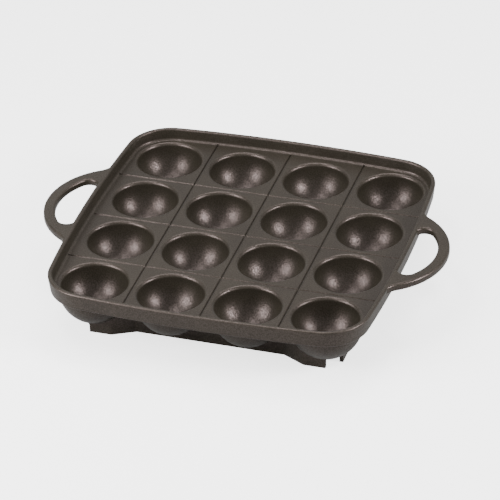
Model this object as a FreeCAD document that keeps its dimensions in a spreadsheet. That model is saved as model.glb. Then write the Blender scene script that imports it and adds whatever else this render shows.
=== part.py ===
import FreeCAD, Part
import math
import os
import Sketcher

# A takoyaki pan for a stove, cast in one piece: a square deck with a raised rim, a grid of half-round
# bowls that bulge below it, a loop handle on each side and four bent walls that it stands on.
# Millimetres. Z is up, X runs through the handles, and the origin lies on the surface that the pan
# stands on, under the middle of the deck. Each region of the casting is a closed solid, such as a
# bowl with its tile of the deck, and neighbours meet face to face.

BOWLS_PER_SIDE = 4

# Driving dimensions, each with what it measures.
SIZES = {
    "bowl_radius": (20.75, "inside radius of a bowl"),
    "mouth_round": (2.25, "rounding where a bowl opens on the deck"),
    "mouth_land": (0.2, "flat ring of deck that belongs to a bowl"),
    "bowl_gap": (3.6, "gap between the outsides of two bowls"),
    "bowl_clearance": (5.5, "lowest point of a bowl above the surface"),
    "deck_thickness": (3.5, "deck, top to underside"),
    "tile_margin": (0.2, "edge of a corner tile beyond its bowl"),
    "corner_radius": (29.25, "outer corner of the rim, centred on the corner bowl"),
    "side_bow": (3.0, "how far a side bows out at its middle"),
    "draft_angle": (7.5, "slope of the rim's inner and outer faces, degrees"),
    "rim_height": (7.75, "rim above the deck"),
    "rim_wall": (3.0, "rim thickness at its top"),
    "lip_round": (1.2, "rounding of the rim's top edges"),
    "floor_round": (1.8, "hollow rounding between deck and rim"),
    "edge_round": (0.8, "rounding of the deck's lower outer edge"),
    "groove_width": (1.5, "engraved line at the deck's surface"),
    "groove_floor": (0.5, "flat at the bottom of an engraved line"),
    "groove_depth": (0.8, "depth of an engraved line"),
    "handle_thickness": (5.0, "handle, top to underside"),
    "handle_overhang": (25.25, "handle beyond the middle of the rim's side"),
    "handle_curve": (48.0, "radius of the handle's outer curve"),
    "handle_band": (7.5, "width of the handle's band"),
    "handle_round": (1.6, "rounding of the handle's edges"),
    "root_round": (12.0, "hollow rounding where a handle leaves the rim"),
    "loop_round": (6.0, "rounding of the finger loop's ends"),
    "seat_margin": (0.3, "root of a handle beyond the rounding of the rim's edge"),
    "tuck_margin": (0.35, "end of a handle's roundings inside the rim's face"),
    "wall_thickness": (2.4, "support wall"),
    "wall_bend_inset": (1.5, "bend of a support wall, from the line between two bowls"),
    "wall_bend_run": (14.5, "slanted stretch of a support wall, along the side"),
    "front_jog": (7.4, "step outwards of the front and back walls"),
    "side_jog": (9.4, "step outwards of the left and right walls"),
    "front_overrun": (1.75, "end of the front and back walls, past the corner bowl's centre"),
    "side_underrun": (0.75, "end of the left and right walls, short of the corner bowl's centre"),
    "wall_flare": (4.5, "hollow rounding from a wall's end up to its bowl"),
    "wall_flare_drop": (1.5, "start of that rounding, below the bowl's lowest point"),
    "depth_share": (0.98, "most of the tray's edge that its rounding takes up"),
    "wall_share": (0.45, "most of a wall's thickness that one rounding takes up"),
    "slab_share": (0.33, "most of the deck's thickness that its lower rounding takes up"),
}

# Dimensions that follow from the driving ones.
WORKED = {
    "bowl_outside": "=Sizes.bowl_radius + Sizes.mouth_round + Sizes.mouth_land",
    "bowl_pitch": "=2 * bowl_outside + Sizes.bowl_gap",
    "bowl_row": "=bowl_pitch * (Sizes.bowls_per_side - 1) / 2",
    "half_pitch": "=bowl_pitch / 2",
    "groove_row": "=bowl_row - half_pitch",
    "half_width": "=bowl_row + Sizes.corner_radius + Sizes.side_bow",
    "bow_radius": "=(bowl_row ^ 2 + 2 * Sizes.corner_radius * Sizes.side_bow + Sizes.side_bow ^ 2)"
                  " / (2 * Sizes.side_bow)",
    "bow_centre": "=bow_radius - half_width",
    "slope": "=tan(Sizes.draft_angle * 1 deg)",
    "tray_rounding": "=Sizes.floor_round * Sizes.depth_share",
    "under_rounding": "=min(Sizes.edge_round; Sizes.deck_thickness * Sizes.slab_share)",
    "lip_rounding": "=min(Sizes.lip_round; Sizes.rim_wall * Sizes.wall_share)",
    "handle_rounding": "=min(Sizes.handle_round; Sizes.handle_thickness * Sizes.wall_share)",
    "deck_under": "=Sizes.bowl_clearance + bowl_outside",
    "deck_top": "=deck_under + Sizes.deck_thickness",
    "kerb_top": "=deck_top + Sizes.floor_round",
    "rim_top": "=deck_top + Sizes.rim_height",
    "bowl_centre": "=deck_top - Sizes.mouth_round",
    "bowl_floor": "=bowl_centre - Sizes.bowl_radius",
    "mouth_edge": "=Sizes.bowl_radius + Sizes.mouth_round",
    "inset_under": "=(rim_top - deck_under) * slope",
    "inset_kerb": "=(rim_top - kerb_top) * slope",
    "rim_foot": "=Sizes.rim_wall + Sizes.rim_height * slope + Sizes.floor_round",
    "tile_inset": "=max(Sizes.corner_radius - bowl_outside - Sizes.tile_margin; rim_foot)",
    "inner_kerb": "=Sizes.rim_wall + inset_kerb",
    "groove_reach": "=half_width - rim_foot",
    "groove_side": "=Sizes.groove_width / 2",
    "groove_bottom_side": "=Sizes.groove_floor / 2",
    "groove_bottom": "=deck_top - Sizes.groove_depth",
    "handle_under": "=rim_top - Sizes.handle_thickness",
    "handle_centre": "=half_width + Sizes.handle_overhang - Sizes.handle_curve",
    "handle_inside": "=Sizes.handle_curve - Sizes.handle_band",
    "handle_seat": "=Sizes.lip_round / tan((90 - Sizes.draft_angle) * 0.5 deg) + Sizes.seat_margin",
    "handle_tuck": "=Sizes.handle_thickness * slope + Sizes.tuck_margin",
    "seat_radius": "=bow_radius - handle_seat",
    "tuck_radius": "=bow_radius - handle_tuck",
    "loop_depth_radius": "=seat_radius - handle_seat",
    "wall_face": "=bowl_row + Sizes.wall_thickness / 2",
    "wall_back": "=bowl_row - Sizes.wall_thickness / 2",
    "bend_near": "=groove_row - Sizes.wall_bend_inset",
    "bend_far": "=bend_near + Sizes.wall_bend_run",
    "front_end": "=bowl_row + Sizes.front_overrun",
    "side_end": "=bowl_row - Sizes.side_underrun",
    "flare_start": "=Sizes.bowl_clearance - Sizes.wall_flare_drop",
}
for wall in ("front", "side"):
    shift = f"Sizes.wall_thickness * tan(atan2(Sizes.{wall}_jog; Sizes.wall_bend_run) / 2)"
    WORKED[f"{wall}_face"] = f"=wall_face + Sizes.{wall}_jog"
    WORKED[f"{wall}_back"] = f"=wall_back + Sizes.{wall}_jog"
    WORKED[f"{wall}_near_back"] = f"=bend_near + {shift}"
    WORKED[f"{wall}_far_back"] = f"=bend_far + {shift}"
    WORKED[f"{wall}_reach"] = f"={wall}_end + Sizes.wall_flare"

QUARTER = math.pi / 2
UP = FreeCAD.Vector(0, 0, 1)

# Lengths closer than this, in millimetres, are taken as the same.
NEAR = 1e-4


def make_sheets(doc):
    """Writes the driving numbers and the formulas that follow from them, one alias to a row."""
    sizes = doc.addObject("Spreadsheet::Sheet", "Sizes")
    sizes.set("A1", "bowls along a side")
    sizes.set("B1", str(BOWLS_PER_SIDE))
    sizes.setAlias("B1", "bowls_per_side")
    for row, (name, (number, meaning)) in enumerate(SIZES.items(), start=2):
        sizes.set(f"A{row}", meaning)
        sizes.set(f"B{row}", str(number))
        sizes.setAlias(f"B{row}", name)
    doc.recompute()
    worked = doc.addObject("Spreadsheet::Sheet", "Worked")
    for row, (name, formula) in enumerate(WORKED.items(), start=1):
        worked.set(f"A{row}", name)
        worked.set(f"B{row}", formula)
        worked.setAlias(f"B{row}", name)
    doc.recompute()


def number(doc, name):
    """The present value of a named dimension from either sheet."""
    sheet = doc.Sizes if name in SIZES else doc.Worked
    return float(sheet.get(name))


def formula(name):
    """A named dimension as other objects refer to it."""
    sheet = "Sizes" if name in SIZES else "Worked"
    return f"{sheet}.{name}"


def new_body(doc, name):
    """An empty body."""
    return doc.addObject("PartDesign::Body", name)


def origin_feature(body, role):
    """One of a body's own origin planes or axes, by its role."""
    return [feature for feature in body.Origin.OriginFeatures if feature.Role == role][0]


def new_sketch(body, name, role, height=None):
    """An empty sketch on a body's origin plane, lifted to a named height."""
    sketch = body.newObject("Sketcher::SketchObject", name)
    sketch.AttachmentSupport = (origin_feature(body, role), [""])
    sketch.MapMode = "FlatFace"
    if height:
        sketch.setExpression("AttachmentOffset.Base.z", formula(height))
    return sketch


def bind(sketch, name, expression, *constraint):
    """Adds a dimension to a sketch and ties it to an expression over the sheets."""
    index = sketch.addConstraint(Sketcher.Constraint(*constraint))
    sketch.renameConstraint(index, name)
    sketch.setExpression(f"Constraints.{name}", expression)


def bind_place(sketch, name, geometry, point, across, along):
    """Ties a point of a sketch to signed named distances from the origin; None leaves it on an axis."""
    doc = sketch.Document
    for kind, distance in (("DistanceX", across), ("DistanceY", along)):
        if distance is None:
            axis = -2 if kind == "DistanceX" else -1
            sketch.addConstraint(Sketcher.Constraint("PointOnObject", geometry, point, axis))
            continue
        plain = distance.lstrip("-")
        ends = (geometry, point, -1, 1) if distance.startswith("-") else (-1, 1, geometry, point)
        bind(sketch, f"{name}_{kind}", formula(plain), kind, *ends, number(doc, plain))


def signed(doc, name):
    """The value of a named dimension, with the sign in front of its name."""
    value = number(doc, name.lstrip("-"))
    return -value if name.startswith("-") else value


def flat(across, along):
    """A point of a sketch."""
    return FreeCAD.Vector(across, along, 0)


def arc(centre, radius, start, end):
    """An arc of a circle, counter-clockwise from start to end, in radians."""
    return Part.ArcOfCircle(Part.Circle(centre, UP, radius), start, end)


def polar(centre, radius, angle):
    """The point at an angle and a distance from a centre."""
    return centre + FreeCAD.Vector(radius * math.cos(angle), radius * math.sin(angle), 0)


def polygon_sketch(body, name, role, corners, height=None):
    """A closed polygon whose corners are signed names of dimensions."""
    doc = body.Document
    sketch = new_sketch(body, name, role, height)
    points = [flat(signed(doc, across), signed(doc, along)) for across, along in corners]
    count = len(points)
    for index in range(count):
        sketch.addGeometry(Part.LineSegment(points[index], points[(index + 1) % count]), False)
    for index in range(count):
        sketch.addConstraint(Sketcher.Constraint("Coincident", index, 2, (index + 1) % count, 1))
    for index, (across, along) in enumerate(corners):
        bind_place(sketch, f"corner_{index}", index, 1, across, along)
    return sketch


def outline_sketch(body, name, height, inset):
    """The pan's outline seen from above, drawn in by a named inset.

    Eight arcs: a corner is centred on its corner bowl, and a side bows out between two corners.
    """
    doc = body.Document
    sketch = new_sketch(body, name, "XY_Plane", height)
    row = number(doc, "bowl_row")
    bow_centre = number(doc, "bow_centre")
    side_size = number(doc, "bow_radius") - number(doc, inset)
    corner_size = number(doc, "corner_radius") - number(doc, inset)
    lean = math.atan2(row, row + bow_centre)
    corners = [("", ""), ("-", ""), ("-", "-"), ("", "-")]
    for turn, (across, along) in enumerate(corners):
        ahead = turn * QUARTER
        corner_centre = flat(signed(doc, across + "bowl_row"), signed(doc, along + "bowl_row"))
        side = arc(polar(flat(0, 0), -bow_centre, ahead), side_size, ahead - lean, ahead + lean)
        sketch.addGeometry(side, False)
        sketch.addGeometry(arc(corner_centre, corner_size, ahead + lean, ahead + QUARTER - lean), False)
    count = 2 * len(corners)
    for index in range(count):
        sketch.addConstraint(Sketcher.Constraint("Tangent", index, 2, (index + 1) % count, 1))
    for turn, (across, along) in enumerate(corners):
        side = 2 * turn
        bind_place(sketch, f"corner_{turn}", side + 1, 3, across + "bowl_row", along + "bowl_row")
        bind(sketch, f"corner_size_{turn}", f"{formula('corner_radius')} - {formula(inset)}",
             "Radius", side + 1, corner_size)
        bind(sketch, f"side_size_{turn}", f"{formula('bow_radius')} - {formula(inset)}",
             "Radius", side, side_size)
    return sketch


def pad(body, name, sketch, length, taper=None):
    """Pads a sketch upwards by an expression, with an expression for its taper."""
    feature = body.newObject("PartDesign::Pad", name)
    feature.Profile = sketch
    feature.setExpression("Length", length)
    if taper:
        feature.setExpression("TaperAngle", taper)
    body.Document.recompute()
    return feature


def pocket(body, name, sketch, length, taper=None, both_ways=False):
    """Cuts a sketch down into a body, or to both sides of its plane, by an expression."""
    before = body.Shape.Volume
    feature = body.newObject("PartDesign::Pocket", name)
    feature.Profile = sketch
    if both_ways:
        feature.SideType = "Symmetric"
    feature.setExpression("Length", length)
    if taper:
        feature.setExpression("TaperAngle", taper)
    body.Document.recompute()
    if not body.Shape.Volume < before:
        raise RuntimeError(f"{name} cuts nothing")
    return feature


def round_edges(body, name, edges, radius):
    """Rounds chosen edges of a body's last shape by a named radius."""
    base = body.Tip
    feature = body.newObject("PartDesign::Fillet", name)
    feature.Base = (base, edges)
    feature.setExpression("Radius", formula(radius))
    body.Document.recompute()
    return feature


def edges_at(shape, height):
    """Names of a shape's edges that lie flat at a height."""
    names = []
    for index, edge in enumerate(shape.Edges, start=1):
        box = edge.BoundBox
        if abs(box.ZMin - height) < NEAR and abs(box.ZMax - height) < NEAR:
            names.append(f"Edge{index}")
    return names


def pattern(body, name, original, role, step, occurrences):
    """Repeats a feature along one of the body's axes by a named step."""
    feature = body.newObject("PartDesign::LinearPattern", name)
    feature.Originals = [original]
    feature.Direction = (origin_feature(body, role), [""])
    feature.Mode = "Spacing"
    feature.setExpression("Offset", formula(step))
    feature.setExpression("Occurrences", occurrences)
    body.Tip = feature
    body.Document.recompute()
    return feature


def make_bowl(doc, column, row):
    """A bowl: a half ball with a rounded mouth, a flat ring of deck and a ball-shaped outside."""
    body = new_body(doc, f"bowl_{column + 1}_{row + 1}")
    sketch = new_sketch(body, "section", "XZ_Plane")
    radius = number(doc, "bowl_radius")
    outside = number(doc, "bowl_outside")
    mouth = number(doc, "mouth_edge")
    top = number(doc, "deck_top")
    under = number(doc, "deck_under")
    centre = number(doc, "bowl_centre")
    clearance = number(doc, "bowl_clearance")
    floor = number(doc, "bowl_floor")
    inner, lip, land, side, ball, axis = range(6)
    sketch.addGeometry(arc(flat(0, centre), radius, -QUARTER, 0), False)
    sketch.addGeometry(arc(flat(mouth, centre), number(doc, "mouth_round"), QUARTER, 2 * QUARTER), False)
    sketch.addGeometry(Part.LineSegment(flat(mouth, top), flat(outside, top)), False)
    sketch.addGeometry(Part.LineSegment(flat(outside, top), flat(outside, under)), False)
    sketch.addGeometry(arc(flat(0, under), outside, -QUARTER, 0), False)
    sketch.addGeometry(Part.LineSegment(flat(0, clearance), flat(0, floor)), False)
    for joint in (("Tangent", inner, 2, lip, 2), ("Tangent", lip, 1, land, 1),
                  ("Coincident", land, 2, side, 1), ("Tangent", side, 2, ball, 2),
                  ("Coincident", ball, 1, axis, 1), ("Coincident", axis, 2, inner, 1),
                  ("Horizontal", land), ("Vertical", side), ("Vertical", axis)):
        sketch.addConstraint(Sketcher.Constraint(*joint))
    bind_place(sketch, "inner_centre", inner, 3, None, "bowl_centre")
    bind_place(sketch, "ball_centre", ball, 3, None, "deck_under")
    sketch.addConstraint(Sketcher.Constraint("PointOnObject", axis, 1, -2))
    bind(sketch, "inside", formula("bowl_radius"), "Radius", inner, radius)
    bind(sketch, "outside", formula("bowl_outside"), "Radius", ball, outside)
    bind(sketch, "rounding", formula("mouth_round"), "Radius", lip, number(doc, "mouth_round"))
    bowl = body.newObject("PartDesign::Revolution", "turned")
    bowl.Profile = sketch
    bowl.ReferenceAxis = (origin_feature(body, "Z_Axis"), [""])
    bowl.Angle = 360
    for direction, index in (("x", column), ("y", row)):
        body.setExpression(f"Placement.Base.{direction}",
                           f"{formula('bowl_pitch')} * {index} - {formula('bowl_row')}")
    doc.recompute()
    return body


def engrave(body):
    """Cuts the engraved lines into a body's top, both ways, halfway between the rows of bowls."""
    section = [("-groove_side", "kerb_top"), ("-groove_side", "deck_top"),
               ("-groove_bottom_side", "groove_bottom"), ("groove_bottom_side", "groove_bottom"),
               ("groove_side", "deck_top"), ("groove_side", "kerb_top")]
    for way, role, across in (("along_y", "XZ_Plane", "X_Axis"), ("along_x", "YZ_Plane", "Y_Axis")):
        line = f"{body.Name}_{way}"
        groove = polygon_sketch(body, f"{line}_section", role, section)
        groove.setExpression("AttachmentOffset.Base.x", f"-{formula('groove_row')}")
        channel = pocket(body, line, groove, f"2 * {formula('groove_reach')}", both_ways=True)
        pattern(body, f"{line}_set", channel, across, "bowl_pitch", "Sizes.bowls_per_side - 1")


def make_border(doc):
    """The deck's border: a tapered edge with a hollow rounding inside, round the sixteen tiles."""
    body = new_body(doc, "border")
    taper = formula("draft_angle")
    slab = outline_sketch(body, "slab_outline", "deck_under", "inset_under")
    pad(body, "slab", slab, f"{formula('kerb_top')} - {formula('deck_under')}", taper)
    tray = outline_sketch(body, "tray_outline", "kerb_top", "inner_kerb")
    pocket(body, "tray", tray, formula("floor_round"), f"-{taper}")
    corners = edges_at(body.Shape, number(doc, "deck_top"))
    round_edges(body, "tray_round", corners, "tray_rounding")
    lower = edges_at(body.Shape, number(doc, "deck_under"))
    round_edges(body, "under_round", lower, "under_rounding")
    engrave(body)
    tiles = outline_sketch(body, "tile_outline", "kerb_top", "tile_inset")
    pocket(body, "tile_opening", tiles, f"2 * ({formula('kerb_top')} - {formula('deck_under')})")
    return body


def make_floor(doc):
    """The flat of the deck, engraved, before it is divided into one tile for each bowl."""
    body = new_body(doc, "flat_deck")
    outline = outline_sketch(body, "flat_outline", "deck_under", "tile_inset")
    pad(body, "flat", outline, formula("deck_thickness"))
    engrave(body)
    return body


def tile_span(index):
    """Where a tile begins and ends along a side: on the engraved lines, or past the deck's edge."""
    ends = []
    for step, outermost in ((index, index == 0), (index + 1, index == BOWLS_PER_SIDE - 1)):
        line = f"{formula('bowl_pitch')} * {step} - {formula('half_pitch')} - {formula('bowl_row')}"
        beyond = f"-{formula('half_width')}" if step == 0 else formula("half_width")
        ends.append(beyond if outermost else line)
    return ends


def make_cell(doc, column, row, flat_deck):
    """A bowl with its own tile of the deck, out to the engraved lines round it."""
    name = f"{column + 1}_{row + 1}"
    block = doc.addObject("Part::Box", f"block_{name}")
    hole = doc.addObject("Part::Cylinder", f"hole_{name}")
    for direction, length, index in (("x", "Length", column), ("y", "Width", row)):
        start, end = tile_span(index)
        block.setExpression(f"Placement.Base.{direction}", start)
        block.setExpression(length, f"({end}) - ({start})")
        hole.setExpression(f"Placement.Base.{direction}",
                           f"{formula('bowl_pitch')} * {index} - {formula('bowl_row')}")
    block.setExpression("Height", f"2 * {formula('rim_top')}")
    hole.setExpression("Radius", formula("bowl_outside"))
    hole.setExpression("Height", f"2 * {formula('rim_top')}")
    doc.recompute()
    tile = combine(doc, f"tile_{name}", "Part::Common", flat_deck, block)
    pierced = combine(doc, f"pierced_tile_{name}", "Part::Cut", tile, hole)
    return combine(doc, f"cell_{name}", "Part::Fuse", pierced, make_bowl(doc, column, row), refine=True)


def make_rim(doc):
    """The raised wall on the kerb, with a rounded lip."""
    body = new_body(doc, "rim_body")
    taper = formula("draft_angle")
    rise = f"{formula('rim_top')} - {formula('kerb_top')}"
    outside = outline_sketch(body, "rim_outside", "kerb_top", "inset_kerb")
    pad(body, "rim_block", outside, rise, taper)
    inside = outline_sketch(body, "rim_inside", "rim_top", "rim_wall")
    pocket(body, "rim_opening", inside, rise, f"-{taper}")
    lip = edges_at(body.Shape, number(doc, "rim_top"))
    round_edges(body, "lip", lip, "lip_rounding")
    return body


def loop_sketch(body, name, height, curve, corner, outward, root):
    """A handle's outer shape or its finger loop, seen from above.

    A curve bends back to the rim through two corner arcs that end just inside the rim's face. From
    there it runs straight in to the named root radius, on which it closes. All measures are named.
    """
    doc = body.Document
    sketch = new_sketch(body, name, "XY_Plane", height)
    middle = number(doc, "handle_centre")
    far = -number(doc, "bow_centre")
    size = number(doc, corner)
    tuck = number(doc, "tuck_radius")
    reach = tuck + size
    bend = number(doc, curve) + outward * size
    gap = middle - far
    across = (reach ** 2 - bend ** 2 + gap ** 2) / (2 * gap)
    along = math.sqrt(reach ** 2 - across ** 2)
    root_angle = math.atan2(along, across)
    bend_angle = math.atan2(along, far + across - middle)
    rim_centre = flat(far, 0)
    bow, upper, upper_line, back, lower_line, lower = range(6)
    if outward > 0:
        upper_span = (2 * QUARTER + root_angle, 2 * QUARTER + bend_angle)
    else:
        upper_span = (bend_angle, 2 * QUARTER + root_angle)
    lower_span = (-upper_span[1], -upper_span[0])
    sketch.addGeometry(arc(flat(middle, 0), number(doc, curve), -bend_angle, bend_angle), False)
    sketch.addGeometry(arc(flat(far + across, along), size, *upper_span), False)
    for angle in (root_angle, -root_angle):
        line = Part.LineSegment(polar(rim_centre, tuck, angle), polar(rim_centre, number(doc, root), angle))
        sketch.addGeometry(line, False)
        if angle > 0:
            sketch.addGeometry(arc(rim_centre, number(doc, root), -root_angle, root_angle), False)
    sketch.addGeometry(arc(flat(far + across, -along), size, *lower_span), False)
    at_bow, at_line = (2, 1) if outward > 0 else (1, 2)
    for joint in (("Tangent", bow, 2, upper, at_bow), ("Perpendicular", upper, at_line, upper_line, 1),
                  ("Perpendicular", upper_line, 2, back, 2), ("Perpendicular", back, 1, lower_line, 2),
                  ("Perpendicular", lower_line, 1, lower, at_bow), ("Tangent", lower, at_line, bow, 1)):
        sketch.addConstraint(Sketcher.Constraint(*joint))
    bind_place(sketch, "bow_centre", bow, 3, "handle_centre", None)
    bind_place(sketch, "rim_centre", back, 3, "-bow_centre", None)
    bind(sketch, "bow_size", formula(curve), "Radius", bow, number(doc, curve))
    bind(sketch, "root_size", formula(root), "Radius", back, number(doc, root))
    for side, geometry, line in (("upper", upper, upper_line), ("lower", lower, lower_line)):
        bind(sketch, f"{side}_size", formula(corner), "Radius", geometry, size)
        bind(sketch, f"{side}_tuck", formula("tuck_radius"), "Distance", back, 3, line, 1, tuck)
    return sketch


def make_handle(doc, name, turn):
    """A flat loop handle, level with the rim's top, whose two roots are let into the rim."""
    body = new_body(doc, name)
    thickness = formula("handle_thickness")
    shape = loop_sketch(body, f"{name}_outside", "handle_under", "handle_curve", "root_round", 1,
                        "seat_radius")
    pad(body, f"{name}_plate", shape, thickness)
    loop = loop_sketch(body, f"{name}_loop", "rim_top", "handle_inside", "loop_round", -1,
                       "loop_depth_radius")
    pocket(body, f"{name}_hole", loop, f"2 * {thickness}")
    rounded = {number(doc, size) for size in ("handle_curve", "handle_inside", "root_round", "loop_round")}
    edges = []
    for index, edge in enumerate(body.Shape.Edges, start=1):
        circular = isinstance(edge.Curve, Part.Circle)
        if circular and any(abs(edge.Curve.Radius - radius) < NEAR for radius in rounded):
            edges.append(f"Edge{index}")
    round_edges(body, f"{name}_round", edges, "handle_rounding")
    body.Placement = FreeCAD.Placement(FreeCAD.Vector(0, 0, 0), FreeCAD.Rotation(UP, turn))
    doc.recompute()
    return body


def make_balls(doc):
    """The bowls' outsides as plain balls, for cutting the support walls to fit them."""
    balls = []
    for column in range(BOWLS_PER_SIDE):
        for row in range(BOWLS_PER_SIDE):
            ball = doc.addObject("Part::Sphere", f"ball_{column + 1}_{row + 1}")
            ball.setExpression("Radius", formula("bowl_outside"))
            for direction, index in (("x", column), ("y", row)):
                ball.setExpression(f"Placement.Base.{direction}",
                                   f"{formula('bowl_pitch')} * {index} - {formula('bowl_row')}")
            ball.setExpression("Placement.Base.z", formula("deck_under"))
            balls.append(ball)
    together = doc.addObject("Part::Compound", "balls")
    together.Links = balls
    doc.recompute()
    return together


def make_support(doc, name, place, turn, balls):
    """A support wall under one row of bowls: straight, with both ends stepped outwards.

    It is drawn as the front one and turned to its side, and the bowls' outsides are cut out of it.
    """
    body = new_body(doc, f"{name}_body")
    face = [("bend_near", "-wall_face"), ("bend_far", f"-{place}_face"), (f"{place}_reach", f"-{place}_face")]
    back = [(f"{place}_near_back", "-wall_back"), (f"{place}_far_back", f"-{place}_back"),
            (f"{place}_reach", f"-{place}_back")]
    half = face + back[::-1]
    corners = half + [(f"-{across}", along) for across, along in reversed(half)]
    plan = polygon_sketch(body, f"{name}_plan", "XY_Plane", corners)
    pad(body, f"{name}_wall", plan, formula("deck_under"))
    trim = flare_sketch(body, f"{name}_ends", f"{place}_end")
    pocket(body, f"{name}_flare", trim, f"4 * {formula('half_width')}", both_ways=True)
    body.Placement = FreeCAD.Placement(FreeCAD.Vector(0, 0, 0), FreeCAD.Rotation(UP, turn))
    return combine(doc, name, "Part::Cut", body, balls)


def flare_sketch(body, name, end):
    """What is cut from both ends of a wall, so that it flares out in a quarter round up to its bowl."""
    doc = body.Document
    sketch = new_sketch(body, name, "XZ_Plane")
    flare = number(doc, "wall_flare")
    start = number(doc, "flare_start")
    for index, side in enumerate((1, -1)):
        near = side * number(doc, end)
        far = side * (number(doc, end) + flare)
        span = (QUARTER, 2 * QUARTER) if side > 0 else (0, QUARTER)
        line, rounding, top, outer, foot = range(5 * index, 5 * index + 5)
        beyond = far + side * flare
        sketch.addGeometry(Part.LineSegment(flat(near, -flare), flat(near, start)), False)
        sketch.addGeometry(arc(flat(far, start), flare, *span), False)
        sketch.addGeometry(Part.LineSegment(flat(far, start + flare), flat(beyond, start + flare)), False)
        sketch.addGeometry(Part.LineSegment(flat(beyond, start + flare), flat(beyond, -flare)), False)
        sketch.addGeometry(Part.LineSegment(flat(beyond, -flare), flat(near, -flare)), False)
        at_line, at_top = (2, 1) if side > 0 else (1, 2)
        for joint in (("Tangent", line, 2, rounding, at_line), ("Tangent", rounding, at_top, top, 1),
                      ("Coincident", top, 2, outer, 1), ("Coincident", outer, 2, foot, 1),
                      ("Coincident", foot, 2, line, 1), ("Vertical", line), ("Vertical", outer),
                      ("Horizontal", foot)):
            sketch.addConstraint(Sketcher.Constraint(*joint))
        sign = "" if side > 0 else "-"
        bind_place(sketch, f"rounding_{index}", line, 2, sign + end, "flare_start")
        bind(sketch, f"size_{index}", formula("wall_flare"), "Radius", rounding, flare)
        bind(sketch, f"length_{index}", formula("wall_flare"), "Distance", top, flare)
        bind(sketch, f"depth_{index}", formula("wall_flare"), "DistanceY", foot, 2, -1, 1, flare)
    return sketch


def combine(doc, name, kind, base, tool, refine=False):
    """One object made of two, by cutting, joining or keeping what they share."""
    piece = doc.addObject(kind, name)
    piece.Base = base
    piece.Tool = tool
    piece.Refine = refine
    doc.recompute()
    return piece


def make_pan(doc):
    """Builds every piece of the casting and gives them by name."""
    pieces = {}
    flat_deck = make_floor(doc)
    for column in range(BOWLS_PER_SIDE):
        for row in range(BOWLS_PER_SIDE):
            pieces[f"cup_{column + 1}_{row + 1}"] = make_cell(doc, column, row, flat_deck)
    pieces["handle_right"] = make_handle(doc, "right_handle", 0)
    pieces["handle_left"] = make_handle(doc, "left_handle", 180)
    handles = doc.addObject("Part::Compound", "handles")
    handles.Links = [pieces["handle_right"], pieces["handle_left"]]
    doc.recompute()
    border = combine(doc, "let_in_border", "Part::Cut", make_border(doc), handles)
    holes = doc.addObject("Part::Compound", "holes")
    holes.Links = [item for item in doc.Objects if item.TypeId == "Part::Cylinder"]
    doc.recompute()
    pieces["deck_border"] = combine(doc, "pierced_border", "Part::Cut", border, holes)
    pieces["rim"] = combine(doc, "let_in_rim", "Part::Cut", make_rim(doc), handles)
    balls = make_balls(doc)
    for name, place, turn in (("front", "front", 0), ("right", "side", 90),
                              ("back", "front", 180), ("left", "side", 270)):
        pieces[f"support_{name}"] = make_support(doc, f"{name}_support", place, turn, balls)
    for name, piece in pieces.items():
        piece.Label = name
    doc.recompute()
    return pieces


def check(doc, pieces):
    """Stops with a message if an object failed or a piece isn't one valid solid."""
    for item in doc.Objects:
        if "Invalid" in item.State or "Error" in item.State:
            raise RuntimeError(f"{item.Label} failed: {item.State}")
    for name, piece in pieces.items():
        shape = piece.Shape
        if shape.isNull() or not shape.isValid():
            raise RuntimeError(f"{name} has no valid shape")
        if len(shape.Solids) != 1:
            raise RuntimeError(f"{name} has {len(shape.Solids)} solids")


def main():
    """Makes the document, checks it and writes one file for each piece."""
    doc = FreeCAD.newDocument("takoyaki_pan")
    make_sheets(doc)
    pieces = make_pan(doc)
    check(doc, pieces)
    os.makedirs("parts", exist_ok=True)
    for name, piece in pieces.items():
        piece.Shape.exportStep(f"parts/{name}.step")
        print(name, round(piece.Shape.Volume, 1))


main()
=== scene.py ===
import math

import bmesh
import bpy
from mathutils import Matrix, Vector


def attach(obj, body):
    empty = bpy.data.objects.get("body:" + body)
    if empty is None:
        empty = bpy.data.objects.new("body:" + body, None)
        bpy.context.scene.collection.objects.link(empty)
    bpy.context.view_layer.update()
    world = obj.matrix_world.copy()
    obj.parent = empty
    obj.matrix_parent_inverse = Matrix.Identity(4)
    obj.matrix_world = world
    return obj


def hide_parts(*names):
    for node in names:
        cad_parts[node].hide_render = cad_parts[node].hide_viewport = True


# A cast takoyaki pan with a dark satin coating: deck, raised rim, sixteen bowls, two loop handles
# and four bent walls below. The scene is in metres, in the frame of the solids: Z up, X through
# the handles.
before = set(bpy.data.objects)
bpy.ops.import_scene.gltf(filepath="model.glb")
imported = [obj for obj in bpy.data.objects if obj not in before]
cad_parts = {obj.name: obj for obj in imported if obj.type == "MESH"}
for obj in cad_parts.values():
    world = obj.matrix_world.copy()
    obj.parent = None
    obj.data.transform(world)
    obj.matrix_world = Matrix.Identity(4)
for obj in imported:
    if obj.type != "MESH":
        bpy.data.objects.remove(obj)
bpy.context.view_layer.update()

MM = 0.001

# Sizes of the casting, in millimetres.
BOWLS = 4
PITCH = 50.0
ROW = PITCH * (BOWLS - 1) / 2
BOWL_RADIUS = 20.75
BOWL_OUTSIDE = 23.2
MOUTH_ROUND = 2.25
DECK_UNDER = 28.7
DECK_TOP = 32.2
KERB_TOP = 34.0
RIM_TOP = 39.95
CORNER = 29.25
BOW = 3.0
RIM_WALL = 3.0
LIP = 1.2
FLOOR_ROUND = 1.764
EDGE_ROUND = 0.8
DRAFT = math.radians(7.5)
GROOVE = 1.5
GROOVE_FLOOR = 0.5
GROOVE_DEPTH = 0.8
GROOVE_REACH = 101.43
TILE_INSET = 5.85

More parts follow.
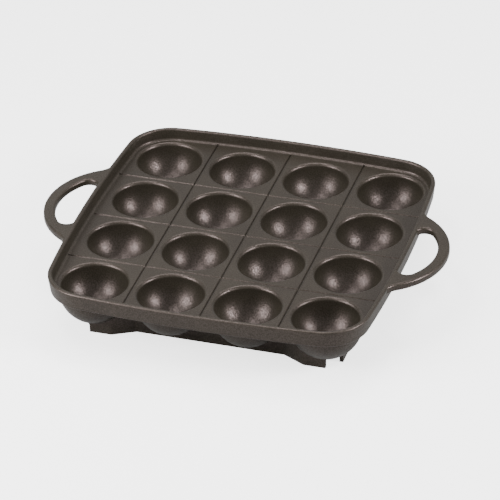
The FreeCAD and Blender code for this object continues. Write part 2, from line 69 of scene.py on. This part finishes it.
HALF = ROW + CORNER + BOW
BOW_RADIUS = (ROW ** 2 + 2 * CORNER * BOW + BOW ** 2) / (2 * BOW)
SIDE_CENTRE = HALF - BOW_RADIUS
LEAN = math.atan2(ROW, ROW - SIDE_CENTRE)

HANDLE_MIDDLE = 84.5
HANDLE_OUTSIDE = 48.0
HANDLE_INSIDE = 40.5
HANDLE_THICK = 5.0
HANDLE_ROUND = 1.6
ROOT_ROUND = 12.0
LOOP_ROUND = 6.0
TUCK_MARGIN = 0.35

WALL = 2.4
WALL_BEND = 48.5
WALL_RUN = 14.5
FRONT_JOG = 7.4
SIDE_JOG = 9.4
FRONT_OVERRUN = 1.75
SIDE_UNDERRUN = 0.75
FRONT_END = ROW + FRONT_OVERRUN
SIDE_END = ROW - SIDE_UNDERRUN
FLARE = 4.5
FLARE_START = 4.0
WALL_SINK = 1.0
WALL_LEAST = 0.05
SOFT_EDGE = 0.35

QUARTER = math.pi / 2
UP = Vector((0, 0, 1))

# Vertices round a bowl, and steps along the other curves.
AROUND = 96
SIDE_STEPS = 40
CORNER_STEPS = 24
LIP_STEPS = 6
EDGE_STEPS = 5
FLOOR_STEPS = 8
BOWL_STEPS = 26
MOUTH_STEPS = 9
BALL_STEPS = 24
CURVE_STEPS = 28
ROOT_STEPS = 14
ROUND_STEPS = 5
WALL_STEPS = 80

# Degrees between places on a wall's flare, and halvings in the search for a tile's edge.
FLARE_DEGREES = 10
HALVINGS = 40

# Distances in millimetres below which places count as one, and a number that counts as nothing.
WELD = 0.0005
CLOSING = 0.1
SEAM_WELD = 0.002
MIRROR_WELD = 0.001
LEVEL = 0.001
TOUCH = 1e-3
NEAR = 0.01
NEAR_ZERO = 1e-6

# Angles, in radians, from which an edge is shaded sharp, softened on a wall or rounded on a handle.
SHARP_FROM = math.radians(30)
SOFT_FROM = math.radians(50)
ROUND_FROM = 1.2

# Weight of large faces over small ones in the shading.
FLAT_WEIGHT = 60

# The camera, from the photograph: its focal length in pixels and its place in metres.
FOCAL_PIXELS = 3715.37
PHOTO_PIXELS = 500
SENSOR = 36
CAMERA_PLACE = (0.6129, -1.8851, 1.3077)

# Size given to the floor's grid, in metres.
FLOOR_SIZE = 6


def of_kind(items, kind):
    """The items of one kind, such as vertices, in the result of a mesh operation."""
    return [item for item in items if isinstance(item, kind)]


def mesh_of(bm, name):
    """A mesh made of a finished bmesh."""
    mesh = bpy.data.meshes.new(name)
    bm.to_mesh(mesh)
    bm.free()
    return mesh


def add_object(name, data):
    """A new object of some data, linked to the scene."""
    item = bpy.data.objects.new(name, data)
    bpy.context.scene.collection.objects.link(item)
    return item


def reopened(block):
    """A loose object's mesh as a bmesh again. The object goes away."""
    bm = bmesh.new()
    bm.from_mesh(block.data)
    bpy.data.objects.remove(block)
    return bm


def place_piece(bm, name, nodes, material):
    """Turns a finished mesh in millimetres into a piece that stands for its nodes."""
    bmesh.ops.remove_doubles(bm, verts=bm.verts, dist=WELD)
    bmesh.ops.recalc_face_normals(bm, faces=bm.faces)
    bmesh.ops.scale(bm, vec=(MM, MM, MM), verts=bm.verts)
    mesh = mesh_of(bm, name)
    for face in mesh.polygons:
        face.use_smooth = True
    mesh.set_sharp_from_angle(angle=SHARP_FROM)
    piece = add_object(name, mesh)
    piece.data.materials.append(material)
    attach(piece, "root")
    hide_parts(*nodes)
    return piece


def outward(place):
    """The level direction that points out of the pan's outline at a place on any parallel of it."""
    side_x = math.copysign(1, place.x)
    side_y = math.copysign(1, place.y)
    corner = Vector((side_x * ROW, side_y * ROW, place.z))
    away = place - corner
    angle = math.atan2(away.y * side_y, away.x * side_x)
    if angle < LEAN:
        centre = Vector((side_x * SIDE_CENTRE, 0, place.z))
    elif angle > QUARTER - LEAN:
        centre = Vector((0, side_y * SIDE_CENTRE, place.z))
    else:
        centre = corner
    return (place - centre).normalized()


def spin_on(bm, end, centre, angle, steps):
    """Carries the end of a line round a centre, and gives its new end."""
    result = bmesh.ops.spin(bm, geom=[end], cent=centre, axis=UP, angle=angle, steps=steps)
    return of_kind(result["geom_last"], bmesh.types.BMVert)[0]


def outline(bm, height, inset):
    """A closed loop of edges along the pan's outline, drawn in by an inset."""
    size = BOW_RADIUS - inset
    start = Vector((SIDE_CENTRE + size * math.cos(LEAN), -size * math.sin(LEAN), height))
    end = bm.verts.new(start)
    for turn in range(4):
        about = Matrix.Rotation(turn * QUARTER, 3, "Z")
        side = about @ Vector((SIDE_CENTRE, 0, height))
        corner = about @ Vector((ROW, ROW, height))
        arcs = ((side, 2 * LEAN, SIDE_STEPS), (corner, QUARTER - 2 * LEAN, CORNER_STEPS))
        for centre, angle, steps in arcs:
            end = spin_on(bm, end, centre, angle, steps)
    bmesh.ops.remove_doubles(bm, verts=bm.verts, dist=CLOSING)
    return list(bm.edges)


def sweep(bm, edges, steps):
    """Carries a loop of edges through (outward, upward) steps, leaving a skin behind it."""
    for out, rise in steps:
        result = bmesh.ops.extrude_edge_only(bm, edges=edges)
        edges = of_kind(result["geom"], bmesh.types.BMEdge)
        verts = of_kind(result["geom"], bmesh.types.BMVert)
        moves = [(vert, outward(vert.co) * out + UP * rise) for vert in verts]
        for vert, move in moves:
            vert.co += move
    return edges


def arc_points(out, height, radius, start, end, count):
    """Points of an arc in a section, as (outward, height), angles in degrees."""
    points = []
    for index in range(count + 1):
        angle = math.radians(start + (end - start) * index / count)
        points.append((out + radius * math.cos(angle), height + radius * math.sin(angle)))
    return points


def steps_between(points):
    """The moves that lead through a list of section points."""
    return [(b[0] - a[0], b[1] - a[1]) for a, b in zip(points, points[1:])]


def outer_face(height):
    """How far the rim's outer face stands from the outline at a height."""
    return -(RIM_TOP - height) * math.tan(DRAFT)


def inner_face(height):
    """How far the rim's inner face stands from the outline at a height."""
    return outer_face(height) - RIM_WALL


def make_rim(material):
    """The raised wall with its rounded lip."""
    draft = math.degrees(DRAFT)
    lip_centre = outer_face(RIM_TOP - LIP) - LIP / math.cos(DRAFT)
    inner_centre = inner_face(RIM_TOP - LIP) + LIP / math.cos(DRAFT)
    points = [(outer_face(KERB_TOP), KERB_TOP)]
    points += arc_points(lip_centre, RIM_TOP - LIP, LIP, -draft, 90, LIP_STEPS)
    points += arc_points(inner_centre, RIM_TOP - LIP, LIP, 90, 180 - draft, LIP_STEPS)
    points += [(inner_face(KERB_TOP), KERB_TOP), (outer_face(KERB_TOP), KERB_TOP)]
    bm = bmesh.new()
    edges = outline(bm, KERB_TOP, -points[0][0])
    sweep(bm, edges, steps_between(points))
    return place_piece(bm, "rim_casting", ["rim"], material)


def rule_by_flats(piece):
    """Lets a piece's large flat faces rule the shading where they meet a rounding."""
    rule = piece.modifiers.new("flat faces rule", "WEIGHTED_NORMAL")
    rule.keep_sharp = True
    rule.weight = FLAT_WEIGHT


def loose_object(name, bm):
    """An object of a mesh in millimetres that is on its way to a piece, or that cuts one."""
    return add_object(name, mesh_of(bm, name))


def carve(body, tool):
    """Cuts a tool out of a body, and takes the tool away."""
    modifier = body.modifiers.new("carve", "BOOLEAN")
    modifier.operation = "DIFFERENCE"
    modifier.solver = "EXACT"
    modifier.object = tool
    graph = bpy.context.evaluated_depsgraph_get()
    carved = bpy.data.meshes.new_from_object(body.evaluated_get(graph))
    body.modifiers.clear()
    body.data = carved
    bpy.data.objects.remove(tool)


def groove_tool(turn):
    """Three long ridges, for the lines that run one way across the deck."""
    bottom = DECK_TOP - GROOVE_DEPTH
    section = [(-GROOVE / 2, KERB_TOP), (-GROOVE / 2, DECK_TOP), (-GROOVE_FLOOR / 2, bottom),
               (GROOVE_FLOOR / 2, bottom), (GROOVE / 2, DECK_TOP), (GROOVE / 2, KERB_TOP)]
    bm = bmesh.new()
    for index in range(BOWLS - 1):
        middle = (index + 0.5) * PITCH - ROW
        verts = [bm.verts.new((middle + across, -GROOVE_REACH, height)) for across, height in section]
        face = bm.faces.new(verts)
        result = bmesh.ops.extrude_face_region(bm, geom=[face])
        ends = of_kind(result["geom"], bmesh.types.BMVert)
        bmesh.ops.translate(bm, vec=(0, 2 * GROOVE_REACH, 0), verts=ends)
    bmesh.ops.recalc_face_normals(bm, faces=bm.faces)
    bmesh.ops.rotate(bm, cent=(0, 0, 0), matrix=Matrix.Rotation(turn, 3, "Z"), verts=bm.verts)
    return loose_object("grooves", bm)


def make_border(material):
    """The deck's edge round the tiles: outer face, hollow rounding inside, ends of the engraved lines."""
    draft = math.degrees(DRAFT)
    under_centre = outer_face(DECK_UNDER + EDGE_ROUND) - EDGE_ROUND / math.cos(DRAFT)
    floor_height = DECK_TOP + FLOOR_ROUND
    floor_centre = inner_face(floor_height) - FLOOR_ROUND / math.cos(DRAFT)
    points = [(-TILE_INSET, DECK_UNDER)]
    points += arc_points(under_centre, DECK_UNDER + EDGE_ROUND, EDGE_ROUND, -90, -draft, EDGE_STEPS)
    points += [(outer_face(KERB_TOP), KERB_TOP), (inner_face(KERB_TOP), KERB_TOP)]
    points += arc_points(floor_centre, floor_height, FLOOR_ROUND, -draft, -90, FLOOR_STEPS)
    points += [(-TILE_INSET, DECK_TOP), (-TILE_INSET, DECK_UNDER)]
    bm = bmesh.new()
    edges = outline(bm, DECK_UNDER, TILE_INSET)
    sweep(bm, edges, steps_between(points))
    bmesh.ops.remove_doubles(bm, verts=bm.verts, dist=WELD)
    bmesh.ops.recalc_face_normals(bm, faces=bm.faces)
    block = loose_object("border_block", bm)
    for turn in (0, QUARTER):
        carve(block, groove_tool(turn))
    piece = place_piece(reopened(block), "border_casting", ["deck_border"], material)
    rule_by_flats(piece)
    return piece


def side_reach(across):
    """How far the tiled floor reaches along one direction, at a distance across it."""
    size = BOW_RADIUS - TILE_INSET
    if abs(across) <= ROW:
        return SIDE_CENTRE + math.sqrt(size ** 2 - across ** 2)
    return ROW + math.sqrt(max((CORNER - TILE_INSET) ** 2 - (abs(across) - ROW) ** 2, 0))


def tile_edge(column, row, index, margin):
    """A point on the edge of a bowl's tile, and whether an engraved line runs there.

    Inside the deck a tile ends a margin short of the lines round it, and elsewhere at the border.
    """
    x, y = column * PITCH - ROW, row * PITCH - ROW
    angle = 4 * QUARTER * index / AROUND
    along, up = math.cos(angle), math.sin(angle)
    last = BOWLS - 1
    open_x = (along > 0 and column < last) or (along < 0 and column > 0)
    open_y = (up > 0 and row < last) or (up < 0 and row > 0)
    room = PITCH / 2 - margin
    diagonal = index % (AROUND // 4) == AROUND // 8
    if diagonal and (open_x or open_y):
        dx = math.copysign(room, along)
        dy = math.copysign(room, up)
        if not open_x:
            dx = math.copysign(side_reach(y + dy), along) - x
        if not open_y:
            dy = math.copysign(side_reach(x + dx), up) - y
        return Vector((x + dx, y + dy, 0)), True
    reach = 2 * PITCH
    engraved = False
    if open_x and abs(along) > NEAR_ZERO and room / abs(along) < reach:
        reach, engraved = room / abs(along), True
    if open_y and abs(up) > NEAR_ZERO and room / abs(up) < reach:
        reach, engraved = room / abs(up), True
    low, high = 0, reach
    for _ in range(HALVINGS):
        middle = (low + high) / 2
        px, py = x + along * middle, y + up * middle
        inside = abs(px) <= side_reach(py) and abs(py) <= side_reach(px)
        low, high = (middle, high) if inside else (low, middle)
    if low < reach - TOUCH:
        engraved = False
    return Vector((x + along * low, y + up * low, 0)), engraved


def make_bowl(column, row, material):
    """A bowl with its tile of the deck: half round inside, rounded mouth, ball-shaped outside."""
    centre = DECK_TOP - MOUTH_ROUND
    section = arc_points(0, centre, BOWL_RADIUS, -90, 0, BOWL_STEPS)
    section += arc_points(BOWL_RADIUS + MOUTH_ROUND, centre, MOUTH_ROUND, 180, 90, MOUTH_STEPS)[1:]
    ball = arc_points(0, DECK_UNDER, BOWL_OUTSIDE, -90, 0, BALL_STEPS)
    x, y = column * PITCH - ROW, row * PITCH - ROW
    bm = bmesh.new()
    for line in (section, ball):
        verts = [bm.verts.new((x + out, y, height)) for out, height in line]
        edges = [bm.edges.new(pair) for pair in zip(verts, verts[1:])]
        bmesh.ops.spin(bm, geom=verts + edges, cent=(x, y, 0), axis=UP, angle=4 * QUARTER,
                       steps=AROUND, use_merge=True)
    bmesh.ops.remove_doubles(bm, verts=bm.verts, dist=WELD)
    mouth = [edge for edge in bm.edges if edge.is_boundary
             and all(abs(vert.co.z - DECK_TOP) < LEVEL for vert in edge.verts)]
    steps = bm.verts.layers.int.new("step round the bowl")
    for vert in {vert for edge in mouth for vert in edge.verts}:
        turned = math.atan2(vert.co.y - y, vert.co.x - x) / (4 * QUARTER)
        vert[steps] = round(turned * AROUND) % AROUND
    rings = [(GROOVE / 2, 0), (GROOVE_FLOOR / 2, GROOVE_DEPTH), (0, GROOVE_DEPTH), (0, DECK_TOP - DECK_UNDER)]
    edges = mouth
    for margin, depth in rings:
        result = bmesh.ops.extrude_edge_only(bm, edges=edges)
        edges = of_kind(result["geom"], bmesh.types.BMEdge)
        for vert in of_kind(result["geom"], bmesh.types.BMVert):
            place, engraved = tile_edge(column, row, vert[steps], margin)
            sunk = depth if engraved or depth > GROOVE_DEPTH else 0
            vert.co = (place.x, place.y, DECK_TOP - sunk)
    result = bmesh.ops.extrude_edge_only(bm, edges=edges)
    for vert in of_kind(result["geom"], bmesh.types.BMVert):
        angle = 4 * QUARTER * vert[steps] / AROUND
        vert.co = (x + BOWL_OUTSIDE * math.cos(angle), y + BOWL_OUTSIDE * math.sin(angle), DECK_UNDER)
    bmesh.ops.remove_doubles(bm, verts=bm.verts, dist=SEAM_WELD)
    piece = place_piece(bm, f"bowl_{column + 1}_{row + 1}", [f"cup_{column + 1}_{row + 1}"], material)
    rule_by_flats(piece)
    return piece


def band_edge(bm, curve, corner, outward_sign, height, seat):
    """One edge of a handle, from the middle of its curve to the end of its root."""
    tuck = BOW_RADIUS - (HANDLE_THICK * math.tan(DRAFT) + TUCK_MARGIN)
    reach = tuck + corner
    bend = curve + outward_sign * corner
    gap = HANDLE_MIDDLE - SIDE_CENTRE
    across = (reach ** 2 - bend ** 2 + gap ** 2) / (2 * gap)
    along = math.sqrt(reach ** 2 - across ** 2)
    root_angle = math.atan2(along, across)
    bend_angle = math.atan2(along, SIDE_CENTRE + across - HANDLE_MIDDLE)
    turn = root_angle - bend_angle if outward_sign > 0 else 2 * QUARTER + root_angle - bend_angle
    end = bm.verts.new((HANDLE_MIDDLE + curve, 0, height))
    centres = ((Vector((HANDLE_MIDDLE, 0, height)), bend_angle, CURVE_STEPS),
               (Vector((SIDE_CENTRE + across, along, height)), turn, ROOT_STEPS))
    for centre, angle, steps in centres:
        end = spin_on(bm, end, centre, angle, steps)
    direction = Vector((math.cos(root_angle), math.sin(root_angle), 0))
    last = bm.verts.new(Vector((SIDE_CENTRE, 0, height)) + direction * (BOW_RADIUS - seat))
    bm.edges.new((end, last))
    bmesh.ops.remove_doubles(bm, verts=bm.verts, dist=WELD)


def outline_plug(inset, low, high):
    """A solid block of the pan's outline, drawn in by an inset, for cutting what is let into the rim."""
    bm = bmesh.new()
    edges = outline(bm, low, inset)
    floor = bmesh.ops.contextual_create(bm, geom=edges)["faces"]
    result = bmesh.ops.extrude_face_region(bm, geom=floor)
    ends = of_kind(result["geom"], bmesh.types.BMVert)
    bmesh.ops.translate(bm, vec=(0, 0, high - low), verts=ends)
    bmesh.ops.recalc_face_normals(bm, faces=bm.faces)
    return loose_object("outline_plug", bm)


def make_handle(side, turn, material):
    """A flat loop handle with rounded edges, level with the rim's top and cut off where its lip begins."""
    seat = -outer_face(RIM_TOP - LIP) + LIP / math.cos(DRAFT)
    root = seat + 2 * HANDLE_ROUND
    bm = bmesh.new()
    band_edge(bm, HANDLE_OUTSIDE, ROOT_ROUND, 1, RIM_TOP, root)
    band_edge(bm, HANDLE_INSIDE, LOOP_ROUND, -1, RIM_TOP, root)
    bmesh.ops.bridge_loops(bm, edges=bm.edges)
    bmesh.ops.mirror(bm, geom=bm.verts[:] + bm.edges[:] + bm.faces[:], axis="Y", merge_dist=MIRROR_WELD)
    bmesh.ops.remove_doubles(bm, verts=bm.verts, dist=MIRROR_WELD)
    bmesh.ops.recalc_face_normals(bm, faces=bm.faces)
    result = bmesh.ops.extrude_face_region(bm, geom=bm.faces[:])
    lower = of_kind(result["geom"], bmesh.types.BMVert)
    bmesh.ops.translate(bm, vec=(0, 0, -HANDLE_THICK), verts=lower)
    bmesh.ops.recalc_face_normals(bm, faces=bm.faces)
    rim_centre = Vector((SIDE_CENTRE, 0))
    long_edges = []
    for edge in bm.edges:
        at_root = [abs((vert.co.xy - rim_centre).length - BOW_RADIUS + root) < NEAR for vert in edge.verts]
        level = abs(edge.verts[0].co.z - edge.verts[1].co.z) < NEAR
        if level and not all(at_root) and edge.calc_face_angle(0) > ROUND_FROM:
            long_edges.append(edge)
    bmesh.ops.bevel(bm, geom=long_edges, offset=HANDLE_ROUND, offset_type="OFFSET", segments=ROUND_STEPS,
                    affect="EDGES", profile=0.5, material=-1, clamp_overlap=False)
    bmesh.ops.rotate(bm, cent=(0, 0, 0), matrix=Matrix.Rotation(turn, 3, "Z"), verts=bm.verts)
    bmesh.ops.recalc_face_normals(bm, faces=bm.faces)
    block = loose_object("handle_block", bm)
    carve(block, outline_plug(seat, RIM_TOP - 2 * HANDLE_THICK, RIM_TOP + HANDLE_THICK))
    piece = place_piece(reopened(block), f"loop_handle_{side}", [f"handle_{side}"], material)
    rule_by_flats(piece)
    return piece


def wall_line(along, jog):
    """How far a support wall's middle stands from the pan's middle, at a place along it."""
    step = min(max((abs(along) - WALL_BEND) / WALL_RUN, 0), 1)
    return ROW + jog * step


def wall_top(along, away):
    """The top of a wall: inside the skin of the bowl above it, or at the deck's underside."""
    hidden = BOWL_OUTSIDE - WALL_SINK
    nearest = min(math.hypot(along - (index * PITCH - ROW), away - ROW) for index in range(BOWLS))
    if nearest >= hidden:
        return DECK_UNDER
    return DECK_UNDER - math.sqrt(hidden ** 2 - nearest ** 2)


def make_wall(side, jog, end, turn, material):
    """A support wall: a straight sheet with both ends stepped outwards and flared up to the bowls."""
    places = [end * index / WALL_STEPS for index in range(WALL_STEPS + 1)]
    angles = range(FLARE_DEGREES, 90 + FLARE_DEGREES, FLARE_DEGREES)
    places += [end + FLARE * (1 - math.cos(math.radians(angle))) for angle in angles]
    places = [-place for place in places[:0:-1]] + places
    bm = bmesh.new()
    edge = None
    for along in places:
        away = wall_line(along, jog)
        top = wall_top(along, away)
        past = abs(along) - end
        low = FLARE_START + math.sqrt(max(FLARE ** 2 - (FLARE - past) ** 2, 0)) if past > NEAR_ZERO else 0
        low = min(low, top - WALL_LEAST)
        if edge is None:
            edge = bm.edges.new([bm.verts.new((along, -away, height)) for height in (low, top)])
            continue
        result = bmesh.ops.extrude_edge_only(bm, edges=[edge])
        edge = of_kind(result["geom"], bmesh.types.BMEdge)[0]
        lower, upper = sorted(edge.verts, key=lambda vert: vert.co.z)
        lower.co = (along, -away, low)
        upper.co = (along, -away, top)
    bmesh.ops.rotate(bm, cent=(0, 0, 0), matrix=Matrix.Rotation(turn, 3, "Z"), verts=bm.verts)
    piece = place_piece(bm, f"wall_{side}", [f"support_{side}"], material)
    thick = piece.modifiers.new("wall thickness", "SOLIDIFY")
    thick.thickness = WALL * MM
    thick.offset = 0
    thick.use_even_offset = True
    soft = piece.modifiers.new("soft edges", "BEVEL")
    soft.width = SOFT_EDGE * MM
    soft.segments = 2
    soft.limit_method = "ANGLE"
    soft.angle_limit = SOFT_FROM
    return piece


def grain_group():
    """Fine grain of a sprayed coating on a casting: a height and a tone."""
    group = bpy.data.node_groups.new("coating grain", "ShaderNodeTree")
    face = group.interface
    face.new_socket("Fine Scale", in_out="INPUT", socket_type="NodeSocketFloat")
    face.new_socket("Coarse Scale", in_out="INPUT", socket_type="NodeSocketFloat")
    face.new_socket("Height", in_out="OUTPUT", socket_type="NodeSocketFloat")
    face.new_socket("Tone", in_out="OUTPUT", socket_type="NodeSocketFloat")
    nodes, links = group.nodes, group.links
    given = nodes.new("NodeGroupInput")
    out = nodes.new("NodeGroupOutput")
    place = nodes.new("ShaderNodeTexCoord")
    fine = nodes.new("ShaderNodeTexNoise")
    fine.inputs["Detail"].default_value = 3
    coarse = nodes.new("ShaderNodeTexNoise")
    coarse.inputs["Detail"].default_value = 4
    links.new(place.outputs["Object"], fine.inputs["Vector"])
    links.new(place.outputs["Object"], coarse.inputs["Vector"])
    links.new(given.outputs["Fine Scale"], fine.inputs["Scale"])
    links.new(given.outputs["Coarse Scale"], coarse.inputs["Scale"])
    links.new(fine.outputs["Fac"], out.inputs["Height"])
    links.new(coarse.outputs["Fac"], out.inputs["Tone"])
    return group


def coated_casting():
    """Dark satin release coating, a warm grey-brown, with fine grain and slightly uneven gloss."""
    material = bpy.data.materials.new("coated casting")
    material.use_nodes = True
    nodes, links = material.node_tree.nodes, material.node_tree.links
    shader = nodes["Principled BSDF"]
    shader.inputs["IOR"].default_value = 1.5
    shader.inputs["Specular Tint"].default_value = (1.0, 0.79, 0.76, 1)
    grain = nodes.new("ShaderNodeGroup")
    grain.node_tree = grain_group()
    grain.inputs["Fine Scale"].default_value = 1150
    grain.inputs["Coarse Scale"].default_value = 45
    colour = nodes.new("ShaderNodeValToRGB")
    colour.color_ramp.elements[0].position = 0.3
    colour.color_ramp.elements[0].color = (0.0172, 0.0151, 0.0108, 1)
    colour.color_ramp.elements[1].position = 0.7
    colour.color_ramp.elements[1].color = (0.0222, 0.0194, 0.0138, 1)
    links.new(grain.outputs["Tone"], colour.inputs["Fac"])
    links.new(colour.outputs["Color"], shader.inputs["Base Color"])
    gloss = nodes.new("ShaderNodeMapRange")
    gloss.inputs["To Min"].default_value = 0.30
    gloss.inputs["To Max"].default_value = 0.36
    links.new(grain.outputs["Tone"], gloss.inputs["Value"])
    links.new(gloss.outputs["Result"], shader.inputs["Roughness"])
    glint = nodes.new("ShaderNodeMapRange")
    glint.inputs["From Min"].default_value = 0.38
    glint.inputs["From Max"].default_value = 0.62
    glint.inputs["To Min"].default_value = 0.34
    glint.inputs["To Max"].default_value = 0.70
    links.new(grain.outputs["Height"], glint.inputs["Value"])
    links.new(glint.outputs["Result"], shader.inputs["Specular IOR Level"])
    bump = nodes.new("ShaderNodeBump")
    bump.inputs["Strength"].default_value = 0.7
    bump.inputs["Distance"].default_value = 0.0002
    links.new(grain.outputs["Height"], bump.inputs["Height"])
    links.new(bump.outputs["Normal"], shader.inputs["Normal"])
    return material


def pale_floor():
    """A plain pale surface under the pan."""
    material = bpy.data.materials.new("pale floor")
    material.use_nodes = True
    nodes, links = material.node_tree.nodes, material.node_tree.links
    shader = nodes["Principled BSDF"]
    shader.inputs["Base Color"].default_value = (0.42, 0.42, 0.42, 1)
    shader.inputs["Roughness"].default_value = 0.9
    seen = nodes.new("ShaderNodeBsdfDiffuse")
    seen.inputs["Color"].default_value = (0.93, 0.93, 0.93, 1)
    glow = nodes.new("ShaderNodeEmission")
    glow.inputs["Strength"].default_value = 2.2
    both = nodes.new("ShaderNodeAddShader")
    links.new(seen.outputs["BSDF"], both.inputs[0])
    links.new(glow.outputs["Emission"], both.inputs[1])
    path = nodes.new("ShaderNodeLightPath")
    choice = nodes.new("ShaderNodeMixShader")
    links.new(path.outputs["Is Camera Ray"], choice.inputs["Fac"])
    links.new(shader.outputs["BSDF"], choice.inputs[1])
    links.new(both.outputs["Shader"], choice.inputs[2])
    links.new(choice.outputs["Shader"], nodes["Material Output"].inputs["Surface"])
    bm = bmesh.new()
    bmesh.ops.create_grid(bm, x_segments=1, y_segments=1, size=FLOOR_SIZE)
    floor = add_object("floor", mesh_of(bm, "floor"))
    floor.data.materials.append(material)


def softbox(name, place, target, size, power):
    """A rectangular soft light that looks at a target."""
    lamp = bpy.data.lights.new(name, "AREA")
    lamp.shape = "RECTANGLE"
    lamp.size, lamp.size_y = size
    lamp.energy = power
    light = add_object(name, lamp)
    light.location = place
    light.rotation_euler = (Vector(target) - Vector(place)).to_track_quat("-Z", "Y").to_euler()


def studio():
    """Soft white surroundings, softboxes at the right and left, two overhead and a faint one behind."""
    world = bpy.data.worlds.new("studio")
    bpy.context.scene.world = world
    world.use_nodes = True
    world.node_tree.nodes["Background"].inputs["Color"].default_value = (1, 1, 1, 1)
    world.node_tree.nodes["Background"].inputs["Strength"].default_value = 0.58
    target = (0, 0, 0.03)
    softbox("right softbox", (1.07, -0.04, 0.6), target, (0.36, 0.4), 18)
    softbox("left softbox", (-0.59, -0.54, 0.46), target, (0.46, 0.5), 13)
    softbox("upper softbox", (-0.3, -0.2, 1.2), target, (0.8, 0.3), 5.5)
    softbox("top softbox", (0.0, 0.42, 1.22), target, (0.6, 0.35), 7)
    softbox("back softbox", (-0.7, 0.85, 0.75), target, (0.5, 0.4), 0.35)


def photo_camera():
    """The camera of the photograph: a long lens from the front right, looking down."""
    data = bpy.data.cameras.new("camera")
    data.sensor_fit = "HORIZONTAL"
    data.sensor_width = SENSOR
    data.lens = FOCAL_PIXELS / PHOTO_PIXELS * SENSOR
    data.clip_end = 50
    camera = add_object("camera", data)
    across = Vector((0.95557, 0.29392, -0.02230))
    upward = Vector((-0.14219, 0.52591, 0.83856))
    back = Vector((0.2582, -0.79813, 0.54434))
    turn = Matrix((across, upward, back)).transposed().to_4x4()
    camera.matrix_world = Matrix.Translation(CAMERA_PLACE) @ turn
    bpy.context.scene.camera = camera


coating = coated_casting()
make_border(coating)
make_rim(coating)
for column in range(BOWLS):
    for row in range(BOWLS):
        make_bowl(column, row, coating)
make_handle("right", 0, coating)
make_handle("left", 2 * QUARTER, coating)
make_wall("front", FRONT_JOG, FRONT_END, 0, coating)
make_wall("right", SIDE_JOG, SIDE_END, QUARTER, coating)
make_wall("back", FRONT_JOG, FRONT_END, 2 * QUARTER, coating)
make_wall("left", SIDE_JOG, SIDE_END, 3 * QUARTER, coating)
pale_floor()
studio()
photo_camera()
